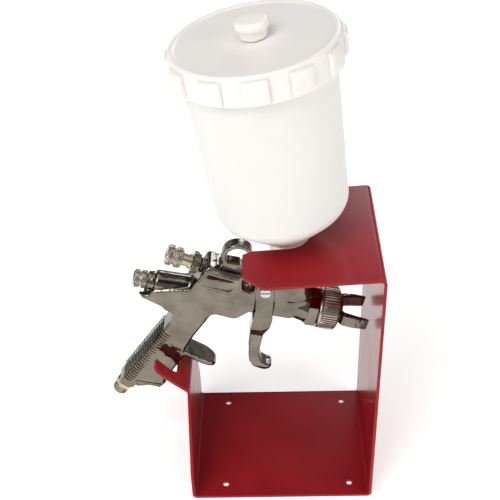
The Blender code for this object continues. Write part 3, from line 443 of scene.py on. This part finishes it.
def grip_rib():
    outline = [(-RIB_PROUD, -RIB_HALF + RIB_BREAK), (-RIB_PROUD, RIB_HALF - RIB_BREAK),
               (RIB_BREAK - RIB_PROUD, RIB_HALF), (RIB_DEPTH, RIB_HALF), (RIB_DEPTH, -RIB_HALF),
               (RIB_BREAK - RIB_PROUD, -RIB_HALF)]
    form = bmesh.new()
    rows = []
    for along, shrink in ((-RIB_THICK, 0.60), (-RIB_THICK * 0.3, 0.0), (RIB_THICK * 0.3, 0.0),
                          (RIB_THICK, 0.60)):
        row = []
        for depth, across in outline:
            across -= math.copysign(shrink, across)
            spot = inwards * (depth + shrink) + rise * along
            row.append(form.verts.new((spot.x, across, spot.z)))
        rows.append(row)
    for lower, upper in zip(rows, rows[1:]):
        for i in range(len(outline)):
            after = (i + 1) % len(outline)
            form.faces.new([lower[i], lower[after], upper[after], upper[i]])
    form.faces.new(rows[0][::-1])
    form.faces.new(rows[-1])
    bmesh.ops.translate(form, vec=GRIP_LOW, verts=form.verts)
    return form


# %% The strap of ribs
ribs = repeated(grip_rib(), along_line, rib_count, tuple(rise * RIB_PITCH), chrome)

# %% [markdown]
# ## Raised panels
# A shallow framed plate stands proud on each side of the body, and a smaller one on the toe
# of the grip. Each is an outline pulled out of the side, then inset so that a rim is left.

# %% Framed plates on both sides
BODY_PANEL = [(-62.4, 22.0), (-45.0, 19.4), (-41.0, 20.0), (-40.6, 13.6), (-45.0, 7.0),
              (-65.2, 9.4), (-67.0, 12.2)]
TOE_PANEL = [(-96.4, -84.6), (-77.2, -84.9), (-78.4, -87.6), (-86.2, -86.9), (-94.8, -89.6)]
PLATE_SINK = 1.2


def framed_plate(outline, base, proud, rim, sink):
    """A plate that stands on a side face at y = base, with a rim around a sunk middle."""
    form = bmesh.new()
    low = [form.verts.new((x, base - PLATE_SINK, z)) for x, z in outline]
    high = [form.verts.new((x, base + proud, z)) for x, z in outline]
    form.faces.new(low)
    top = form.faces.new(high)
    for i in range(len(outline)):
        after = (i + 1) % len(outline)
        form.faces.new([low[i], low[after], high[after], high[i]])
    bmesh.ops.recalc_face_normals(form, faces=form.faces)
    edges = list(top.edges)
    bmesh.ops.bevel(form, geom=edges, offset=proud * 0.6, segments=2, profile=0.6,
                    affect="EDGES")
    top = max(form.faces, key=lambda face: face.calc_area() * (face.normal.y > 0.9))
    bmesh.ops.inset_region(form, faces=[top], thickness=rim, depth=0.0)
    bmesh.ops.inset_region(form, faces=[top], thickness=sink, depth=-sink)
    return form


plates = []
for outline, base, proud in ((BODY_PANEL, 10.2, 0.90), (TOE_PANEL, 9.5, 0.55)):
    for side in (1, -1):
        plate = framed_plate(outline, base, proud, 0.8, 0.40)
        bmesh.ops.scale(plate, vec=(1, side, 1), verts=plate.verts)
        plates.append(as_mesh("plate", plate))

# %% [markdown]
# ## Collar and finished casting
# Between the head and the cap ring sits a six-sided collar for the spanner.

# %% Collar, and the casting as one piece
COLLAR_RADIUS = 14.9


def hexagon(radius, low, high):
    """A hexagonal collar about z with broken corners."""
    form = bmesh.new()
    rows = []
    for z, size in ((low, radius - 0.9), (low + 0.5, radius), (high - 0.5, radius),
                    (high, radius - 0.9)):
        rows.append([form.verts.new((size * math.cos(math.tau * i / 6),
                                     size * math.sin(math.tau * i / 6), z)) for i in range(6)])
    for lower, upper in zip(rows, rows[1:]):
        for i in range(6):
            after = (i + 1) % 6
            form.faces.new([lower[i], lower[after], upper[after], upper[i]])
    form.faces.new(rows[0][::-1])
    form.faces.new(rows[-1])
    return form


collar = as_mesh("collar", hexagon(COLLAR_RADIUS, 7.6, 14.8))
collar.transform(Matrix.Rotation(math.pi / 2, 4, "Y"))
piece("gun_casting", [cast, ribs, collar] + plates, gun_place, "gun", chrome,
      ("gun_body",), sharp=50.0)

# %% [markdown]
# ## Trigger
# The lever is a smaller casting with the same polish, and its two arms straddle the head of
# the gun. The same remesh serves it, with a finer cell because its arms are thin.

# %% Polished lever
TRIGGER_CELL = 0.42
lever = applied(cad_copy("trigger", gun_place), [
    ("REMESH", {"mode": "VOXEL", "voxel_size": TRIGGER_CELL}),
    ("SMOOTH", {"factor": 0.5, "iterations": 14}),
])
round_tip(lever, -8.6, 5.6, -50.0, 0.15)
piece("trigger_lever", [lever], gun_place, "trigger", chrome, ("trigger",), sharp=60.0)

# %% [markdown]
# ## Pivot screw and nut
# A slotted cheese-head screw holds the lever, with a round nut behind. The slot is cut with
# a Boolean, because a slot has sharp walls that modelling by hand would only imitate.

# %% Slotted screw
ARM_OUT = 12.1
HEAD_RADIUS = 3.8
PIN_RADIUS = 2.0
HEAD_HEIGHT = 1.6
GAP = 0.3


def slotted(profile, top, radius):
    """A turned head with a screwdriver slot across its top."""
    head = bpy.data.objects.new("head", as_mesh("head", turned(profile, 48)))
    bar = bmesh.new()
    bmesh.ops.create_cube(bar, size=1.0)
    bmesh.ops.scale(bar, vec=(radius * 3, 0.9, 1.4), verts=bar.verts)
    bmesh.ops.translate(bar, vec=(0, 0, top), verts=bar.verts)
    blade = bpy.data.objects.new("blade", as_mesh("blade", bar))
    for thing in (head, blade):
        bpy.context.scene.collection.objects.link(thing)
    cut = head.modifiers.new("slot", "BOOLEAN")
    cut.operation = "DIFFERENCE"
    cut.solver = "EXACT"
    cut.object = blade
    graph = bpy.context.evaluated_depsgraph_get()
    result = bpy.data.meshes.new_from_object(head.evaluated_get(graph))
    bpy.data.objects.remove(head)
    bpy.data.objects.remove(blade)
    return result


across_place = pivot_place @ Matrix.Rotation(math.pi / 2, 4, "X")
head_top = ARM_OUT + GAP + HEAD_HEIGHT
pin = slotted(rounded([(0.0, -ARM_OUT - 1.4), (PIN_RADIUS, -ARM_OUT - 1.4),
                       (PIN_RADIUS, ARM_OUT + GAP), (HEAD_RADIUS, ARM_OUT + GAP),
                       (HEAD_RADIUS, head_top), (0.0, head_top)], 0.5), head_top, HEAD_RADIUS)
piece("pivot_screw", [pin], across_place, "gun", steel, ("trigger_pin",))
nut_low = -ARM_OUT - GAP - HEAD_HEIGHT
nut_profile = rounded([(PIN_RADIUS + GAP, nut_low), (HEAD_RADIUS, nut_low),
                       (HEAD_RADIUS, -ARM_OUT - GAP), (PIN_RADIUS + GAP, -ARM_OUT - GAP)], 0.4)
piece("pivot_nut", [as_mesh("nut", turned(nut_profile, 48, closed=True))], across_place,
      "gun", steel, ("trigger_nut",))

# %% [markdown]
# ## Air cap and its ring
# The cap ring is turned, with fine straight ribs for the fingers, and screws over the head
# to hold the air cap. The cap carries two horns that blow the fan flat. Its horns are welded
# to the face in the solid, so the cap is polished like the casting, and finer.

# %% Ribbed ring, horned cap and fluid nozzle
RING_START = 15.5
RING_END = 29.0
RING_BODY = 14.1
RING_RIBS = 50
RIB_HEIGHT = 0.80
SPIGOT = 11.6
ring_profile = [(SPIGOT, RING_START)]
ring_profile += rounded([(14.2, RING_START), (14.8, RING_START + 0.6), (14.8, 17.0),
                         (RING_BODY, 17.6), (RING_BODY, RING_END - 1.0),
                         (13.2, RING_END), (10.1, RING_END), (10.1, 22.8)], 0.35)
ring_profile += [(SPIGOT, 22.8)]
ring = as_mesh("ring", turned(ring_profile, 128, closed=True))
ring_ribs = knurl(RING_BODY, RING_RIBS, RIB_HEIGHT, 17.4, 28.3, satin_chrome)
piece("cap_ring_ribbed", [ring, ring_ribs], needle_place, "cap_ring", satin_chrome,
      ("cap_ring",))
cap = applied(cad_copy("air_cap", gun_place), [
    ("REMESH", {"mode": "VOXEL", "voxel_size": 0.28}),
    ("SMOOTH", {"factor": 0.5, "iterations": 5}),
])
piece("horned_cap", [cap], gun_place, "air_cap", chrome, ("air_cap",), sharp=60.0)
nozzle_profile = rounded([(1.6, 3.3), (6.0, 3.3), (6.0, 10.3), (8.1, 10.3), (8.1, 13.0),
                          (4.5, 13.0), (4.5, 20.0), (2.2, 27.5), (1.9, 30.2), (1.15, 30.2),
                          (1.6, 26.0)], 0.25)
piece("nozzle", [as_mesh("nozzle", turned(nozzle_profile, 64, closed=True))], needle_place,
      "gun", nickel, ("fluid_nozzle",))

# %% [markdown]
# ## Rear knobs
# The fluid knob sits on the needle's line, behind a smooth sleeve, and the fan knob stands
# on the sloping back. Both are turned brass, plated, with a band of fine ribs and a groove.

# %% Knobs, sleeve and gland
KNOB_REAR = -109.0
KNOB_FRONT = -99.4
KNOB_BODY = 5.75
KNOB_RIBS = 34
fluid_profile = rounded([(0.0, KNOB_REAR), (KNOB_BODY - 1.3, KNOB_REAR),
                         (KNOB_BODY, KNOB_REAR + 1.2), (KNOB_BODY, -104.8), (5.2, -104.4),
                         (5.2, -103.8), (KNOB_BODY, -103.4), (KNOB_BODY, KNOB_FRONT - 0.5),
                         (KNOB_BODY - 0.5, KNOB_FRONT), (3.8, KNOB_FRONT), (3.8, -96.6),
                         (1.8, -96.6), (1.8, -105.0), (0.0, -105.0)], 0.25)
fluid_ribs = [knurl(KNOB_BODY, KNOB_RIBS, 0.40, low, high, satin_chrome)
              for low, high in ((-108.0, -104.9), (-103.3, -99.9))]
piece("fluid_knob_ribbed", [as_mesh("knob", turned(fluid_profile, 96))] + fluid_ribs,
      needle_place, "fluid_knob", satin_chrome, ("fluid_knob",))
sleeve_profile = rounded([(4.1, -80.0), (5.2, -80.0), (5.2, -94.8), (6.6, -94.8), (6.6, -96.6),
                          (6.2, -97.2), (6.2, -99.1), (4.1, -99.1)], 0.3)
piece("rear_sleeve", [as_mesh("sleeve", turned(sleeve_profile, 96, closed=True))],
      needle_place, "gun", chrome, ("needle_sleeve",))
FAN_KNOB = 6.45
fan_start, fan_end = 14.0, 24.6
fan_groove = (fan_start + fan_end) / 2
fan_profile = rounded([(0.0, fan_end - 1.7), (2.9, fan_end - 1.7), (2.9, fan_start),
                       (FAN_KNOB - 0.5, fan_start), (FAN_KNOB, fan_start + 0.6),
                       (FAN_KNOB, fan_groove - 0.9), (5.6, fan_groove - 0.5),
                       (5.6, fan_groove + 0.5), (FAN_KNOB, fan_groove + 0.9),
                       (FAN_KNOB, fan_end - 0.8), (FAN_KNOB - 0.8, fan_end),
                       (2.6, fan_end), (2.2, fan_end - 0.5), (0.0, fan_end - 0.5)], 0.25)
fan_ribs = [knurl(FAN_KNOB, 36, 0.5, low, high, satin_chrome)
            for low, high in ((fan_start + 0.6, fan_groove - 0.9),
                              (fan_groove + 0.9, fan_end - 0.7))]
piece("fan_knob_ribbed", [as_mesh("knob", turned(fan_profile, 96))] + fan_ribs, fan_place,
      "fan_valve", satin_chrome, ("fan_knob",))
gland_profile = rounded([(3.5, -9.0), (4.6, -9.0), (4.6, 1.2), (5.6, 2.4), (6.6, 2.4),
                         (6.6, 4.0), (7.25, 4.0), (7.25, 7.2), (3.5, 7.2)], 0.3)
gland_ribs = knurl(7.15, 30, 0.4, 4.1, 7.1, satin_chrome)
piece("fan_gland_ribbed", [as_mesh("gland", turned(gland_profile, 96, closed=True)), gland_ribs],
      fan_place, "gun", chrome, ("fan_gland",))

# %% [markdown]
# ## Springs
# Two coil springs push the air valve and the needle forwards, and both shorten when the trigger is pulled. A
# spiral curve with a round section is a spring by rule, so a third tree makes it.

# %% A tree for a coil
def spring_tree():
    tree = bpy.data.node_groups.new("coil spring", "GeometryNodeTree")
    for name, kind in (("Turns", "Float"), ("Mean Radius", "Float"), ("Length", "Float"),
                       ("Wire Radius", "Float"), ("Finish", "Material")):
        tree.interface.new_socket(name, in_out="INPUT", socket_type=f"NodeSocket{kind}")
    tree.interface.new_socket("Geometry", in_out="OUTPUT", socket_type="NodeSocketGeometry")
    given = tree.nodes.new("NodeGroupInput")
    result = tree.nodes.new("NodeGroupOutput")
    spiral = tree.nodes.new("GeometryNodeCurveSpiral")
    spiral.inputs["Resolution"].default_value = 24
    section = tree.nodes.new("GeometryNodeCurvePrimitiveCircle")
    section.inputs["Resolution"].default_value = 10
    sweep = tree.nodes.new("GeometryNodeCurveToMesh")
    sweep.inputs["Fill Caps"].default_value = True
    realize = tree.nodes.new("GeometryNodeRealizeInstances")
    paint = tree.nodes.new("GeometryNodeSetMaterial")
    link = tree.links.new
    link(given.outputs["Turns"], spiral.inputs["Rotations"])
    link(given.outputs["Mean Radius"], spiral.inputs["Start Radius"])
    link(given.outputs["Mean Radius"], spiral.inputs["End Radius"])
    link(given.outputs["Length"], spiral.inputs["Height"])
    link(given.outputs["Wire Radius"], section.inputs["Radius"])
    link(spiral.outputs["Curve"], sweep.inputs["Curve"])
    link(section.outputs["Curve"], sweep.inputs["Profile Curve"])
    link(sweep.outputs["Mesh"], realize.inputs["Geometry"])
    link(realize.outputs["Geometry"], paint.inputs["Geometry"])
    link(given.outputs["Finish"], paint.inputs["Material"])
    link(paint.outputs["Geometry"], result.inputs["Geometry"])
    return tree


coil_spring = spring_tree()

# %% Two springs
WIRE = 0.42


def spring(name, node, turns, mean, rear, front):
    """A coil between two faces on the needle's line."""
    holder = bpy.data.objects.new("holder", bpy.data.meshes.new("holder"))
    modifier = holder.modifiers.new("coil", "NODES")
    modifier.node_group = coil_spring
    given = {"Turns": float(turns), "Mean Radius": mean, "Length": front - rear - 2 * WIRE,
             "Wire Radius": WIRE, "Finish": steel}
    for socket in coil_spring.interface.items_tree:
        if socket.in_out == "INPUT":
            modifier[socket.identifier] = given[socket.name]
    bpy.context.scene.collection.objects.link(holder)
    graph = bpy.context.evaluated_depsgraph_get()
    coil = bpy.data.meshes.new_from_object(holder.evaluated_get(graph))
    bpy.data.objects.remove(holder)
    coil.transform(Matrix.Translation((0.0, 0.0, rear + WIRE)))
    made = piece(name, [coil], needle_place, "gun", steel, (node,))
    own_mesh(made)
    return made


spring("valve_spring_coil", "air_valve_spring", 6, 3.9, -57.7, -42.3)
spring("needle_spring_coil", "needle_spring", 7, 2.6, -96.3, -76.8)

# %% [markdown]
# ## Hose connector
# Below the grip a threaded stub takes the air hose. A thread this fine reads as even rings,
# so the line tree stacks one ring along the stub, and a hexagon above it takes the spanner.

# %% Threaded stub with its hexagon
STUB = 4.85
PITCH = 1.0
HEX = 6.7


stub_profile = rounded([(2.6, -0.8), (4.5, -0.8), (STUB, -0.2), (STUB, 10.2), (3.2, 10.2),
                        (3.2, 26.0), (2.2, 26.0)], 0.2)
stub = as_mesh("stub", turned(stub_profile, 64, closed=True))
thread_ring = turned([(STUB - 0.3, -0.45), (STUB + 0.45, -0.08), (STUB + 0.45, 0.08),
                      (STUB - 0.3, 0.45)], 48, closed=True)
thread = repeated(thread_ring, along_line, 6, (0.0, 0.0, PITCH), nickel)
thread.transform(Matrix.Translation((0.0, 0.0, 0.5)))
piece("hose_stub", [stub, thread, as_mesh("hexagon", hexagon(HEX, 6.2, 10.2))], hose_place,
      "gun", nickel, ("air_inlet",))

# %% [markdown]
# ## Cup, lid and vent knob
# The cup is blow moulded: a long shell that tapers towards the bottom, a funnel and a neck.
# It is spun with rounded shoulders and an inner wall. The lid is a shallow pan with lugs
# round its skirt for wet gloves, and the knob on top covers the vent.

# %% Cup shell
FOOT = 81.3
RIM = 190.5
WALL = 2.0
CUP_LOW = 41.6
CUP_HIGH = 45.0
NECK = 13.0
outside = [(NECK, 40.0), (NECK, 56.7), (NECK + 1.6, 58.3), (CUP_LOW - 6.0, FOOT - 4.0),
           (CUP_LOW - 2.0, FOOT - 0.6), (CUP_LOW, FOOT + 4.0), (CUP_HIGH, RIM - 6.0),
           (CUP_HIGH + 1.0, RIM - 5.2), (CUP_HIGH + 1.0, RIM - 3.4), (CUP_HIGH, RIM - 2.6),
           (CUP_HIGH, RIM)]
inside = [(CUP_HIGH - WALL, RIM), (CUP_LOW - WALL, FOOT + 4.4),
          (CUP_LOW - 2.2 - WALL, FOOT + 0.6), (CUP_LOW - 6.0 - WALL, FOOT - 2.6),
          (NECK - 0.6, 59.9), (7.4, 57.9), (6.0, 57.1), (6.0, 54.2), (9.3, 54.2), (9.3, 40.0)]
cup_profile = rounded(outside, 2.6, 4) + rounded(inside, 1.6, 3)
piece("paint_cup", [as_mesh("cup", turned(cup_profile, 160, closed=True))], cup_place, "cup",
      milky, ("cup",), sharp=50.0)

# %% Lid with its lugs
LID_TOP = 194.7
SKIRT = 17.5
LID = 49.2
LUGS = 12
LUG_RISE = 2.4
LUG_HALF = 7.2
LID_WALL_INSIDE = 46.9
PAN_DROP = 0.9
pan_profile = rounded([(LID_WALL_INSIDE, LID_TOP - SKIRT), (LID - 0.2, LID_TOP - SKIRT),
                       (LID, LID_TOP - SKIRT + 1.0), (LID, LID_TOP - 1.6),
                       (LID - 1.4, LID_TOP), (LID - 3.4, LID_TOP),
                       (LID - 4.6, LID_TOP - PAN_DROP), (4.4, LID_TOP - PAN_DROP),
                       (3.9, LID_TOP), (3.9, LID_TOP + 3.6), (1.3, LID_TOP + 3.6),
                       (1.3, LID_TOP - 2.4), (LID_WALL_INSIDE, LID_TOP - 2.4)], 0.7, 4)
pan = as_mesh("pan", turned(pan_profile, 192, closed=True))


def lid_lug():
    """One lug: part of a ring, as wide as its share of the skirt, with rounded shoulders."""
    form = bmesh.new()
    half_angle = LUG_HALF / LID
    low, high = LID_TOP - SKIRT + 1.0, LID_TOP - 2.4
    columns = [(-1.0, 0.0), (-0.93, 0.75), (-0.80, 1.0), (-0.4, 1.0), (0.0, 1.0), (0.4, 1.0),
               (0.80, 1.0), (0.93, 0.75), (1.0, 0.0)]
    rows = [(low, 0.35), (low + 0.7, 0.9), (low + 1.6, 1.0), (high - 2.2, 1.0),
            (high - 0.9, 0.75), (high, 0.0)]
    outer, inner = [], []
    for z, swell in rows:
        outer.append([])
        inner.append([])
        for share, rise_here in columns:
            turn = share * half_angle
            far = LID - 0.3 + (LUG_RISE + 0.3) * rise_here * swell
            for row, reach in ((outer[-1], far), (inner[-1], LID - 0.9)):
                row.append(form.verts.new((reach * math.cos(turn), reach * math.sin(turn), z)))
    last = len(columns) - 1
    for grid in (outer, inner):
        for lower, upper in zip(grid, grid[1:]):
            for i in range(last):
                form.faces.new([lower[i], lower[i + 1], upper[i + 1], upper[i]])
    for side in (0, last):
        for r in range(len(rows) - 1):
            form.faces.new([outer[r][side], outer[r + 1][side],
                            inner[r + 1][side], inner[r][side]])
    for r in (0, len(rows) - 1):
        for i in range(last):
            form.faces.new([outer[r][i], outer[r][i + 1], inner[r][i + 1], inner[r][i]])
    return form


lugs = repeated(lid_lug(), around_axis, LUGS, (0.0, 0.0, math.tau / LUGS), lid_plastic)
piece("lugged_lid", [pan, lugs], cup_place, "lid", lid_plastic, ("lid",), sharp=45.0)

# %% Vent knob
STEM_TOP = LID_TOP + 4.9
KNOB_TOP = STEM_TOP + 5.2
knob_profile = rounded([(0.0, LID_TOP + 3.9), (4.2, LID_TOP + 3.9), (4.2, LID_TOP - 0.3),
                        (7.8, LID_TOP - 0.3), (7.8, STEM_TOP), (9.4, STEM_TOP + 0.3),
                        (9.8, STEM_TOP + 1.2), (9.8, KNOB_TOP - 1.6), (8.2, KNOB_TOP),
                        (0.0, KNOB_TOP)], 0.9, 4)
piece("vent_knob", [as_mesh("knob", turned(knob_profile, 96))], cup_place, "vent_cap",
      lid_plastic, ("vent_cap",))

# %% [markdown]
# ## Small parts that keep their solids
# Springs, seals, the needle and the inner sleeves are already their real shapes, and most of
# them only show when the gun is taken apart. They keep the model's meshes and get finishes.

# %% Finishes for the carried-over parts
slot_finish = {"red": powder_coat, "chrome": chrome, "steel": steel, "brass": nickel,
               "milky": milky, "plastic": white_plastic, "seal": seal}
for subpart in frame["record"]["subparts"]:
    node = frame["nodes"][subpart["node"]]
    node.data.materials.clear()
    node.data.materials.append(slot_finish[subpart["material_slot"]])
print("finished nodes", len(frame["nodes"]))

# %% [markdown]
# ## Floor, light and camera
# A white sweep, one large soft light over the left shoulder, a weak one on the right and a
# cool one behind, which puts the pale sheen on the top plate. Chrome shows whatever is round
# it, so the surroundings go from bright above to dim at the sides.

# %% Floor
FLOOR_HALF = 3.0
FLOOR_DROP = 0.0003
ground = bmesh.new()
bmesh.ops.create_grid(ground, x_segments=4, y_segments=4, size=FLOOR_HALF)
bmesh.ops.translate(ground, vec=(0, 0, -FLOOR_DROP), verts=ground.verts)
floor_mesh = bpy.data.meshes.new("floor")
ground.to_mesh(floor_mesh)
ground.free()
floor_finish, shader = finish("white sweep", [(0.93, 0.93, 0.93), (0.95, 0.95, 0.95)],
                              (0.85, 0.95), 60.0, 0.01, scale=2.0)
shader.inputs["Emission Color"].default_value = (1.0, 1.0, 1.0, 1.0)
shader.inputs["Emission Strength"].default_value = 0.38
floor_mesh.materials.append(floor_finish)
floor = bpy.data.objects.new("floor", floor_mesh)
bpy.context.scene.collection.objects.link(floor)

# %% Lights
TARGET = Vector((0.0, 0.0, 0.14))


def soft_light(name, place, size, power, colour):
    lamp = bpy.data.lights.new(name, "AREA")
    lamp.shape = "SQUARE"
    lamp.size = size
    lamp.energy = power
    lamp.color = colour
    made = bpy.data.objects.new(name, lamp)
    made.location = place
    made.rotation_euler = (TARGET - made.location).to_track_quat("-Z", "Y").to_euler()
    bpy.context.scene.collection.objects.link(made)
    return made


soft_light("key", Vector((-0.55, -0.75, 1.25)), 0.7, 11.0, (1.0, 0.98, 0.95))
soft_light("right fill", Vector((0.95, -0.55, 0.65)), 0.5, 4.0, (1.0, 0.97, 0.93))
soft_light("back", Vector((0.30, 1.25, 0.84)), 0.45, 3.0, (0.90, 0.95, 1.0))
soft_light("strip", Vector((-0.90, -0.35, 0.42)), 0.16, 0.9, (1.0, 0.97, 0.92))

# %% Room: dim at the sides, a pale band low down, bright overhead
world = bpy.data.worlds.new("room")
bpy.context.scene.world = world
world.use_nodes = True
tree = world.node_tree
shade = tree.nodes["Background"]
where = tree.nodes.new("ShaderNodeTexCoord")
split = tree.nodes.new("ShaderNodeSeparateXYZ")
tree.links.new(where.outputs["Generated"], split.inputs["Vector"])
height = tree.nodes.new("ShaderNodeMapRange")
height.inputs["From Min"].default_value = -1.0
tree.links.new(split.outputs["Z"], height.inputs["Value"])
sky = tree.nodes.new("ShaderNodeValToRGB")
SKY_BANDS = [(0.50, (0.30, 0.28, 0.26)), (0.66, (0.42, 0.43, 0.46)), (0.78, (0.07, 0.065, 0.06)),
             (0.92, (0.07, 0.065, 0.06)), (0.98, (1.50, 1.46, 1.40))]
sky.color_ramp.elements[0].position = 0.0
sky.color_ramp.elements[0].color = (0.20, 0.19, 0.17, 1.0)
for position, colour in SKY_BANDS[:-1]:
    sky.color_ramp.elements.new(position).color = (*colour, 1.0)
sky.color_ramp.elements[-1].position = SKY_BANDS[-1][0]
sky.color_ramp.elements[-1].color = (*SKY_BANDS[-1][1], 1.0)
tree.links.new(height.outputs["Result"], sky.inputs["Fac"])
tree.links.new(sky.outputs["Color"], shade.inputs["Color"])
shade.inputs["Strength"].default_value = 1.0

# %% [markdown]
# The camera stands in front of the open side, well above the cup, and looks down. It leans a
# little, as a hand-held one does.

# %% Camera
CAMERA_PLACE = Vector((-0.0059, -0.4868, 0.5537))
LOOK_DOWN = math.radians(37.21)
LOOK_SIDE = math.radians(-1.443)
LEAN = math.radians(-1.951)
ahead = Vector((math.sin(LOOK_SIDE) * math.cos(LOOK_DOWN),
                math.cos(LOOK_SIDE) * math.cos(LOOK_DOWN), -math.sin(LOOK_DOWN)))
level = Vector((math.cos(LOOK_SIDE), -math.sin(LOOK_SIDE), 0.0))
over = level.cross(ahead)
right = level * math.cos(LEAN) + over * math.sin(LEAN)
top = over * math.cos(LEAN) - level * math.sin(LEAN)
lens = bpy.data.cameras.new("camera")
lens.lens = 68.41
lens.sensor_width = 36.0
camera = bpy.data.objects.new("camera", lens)
turn = Matrix((right, top, -ahead)).transposed().to_4x4()
camera.matrix_world = Matrix.Translation(CAMERA_PLACE) @ turn
bpy.context.scene.collection.objects.link(camera)
bpy.context.scene.camera = camera
bpy.context.scene.view_settings.view_transform = "Standard"

# %% [markdown]
# ## Finish

# %% Update the view layer
bpy.context.view_layer.update()
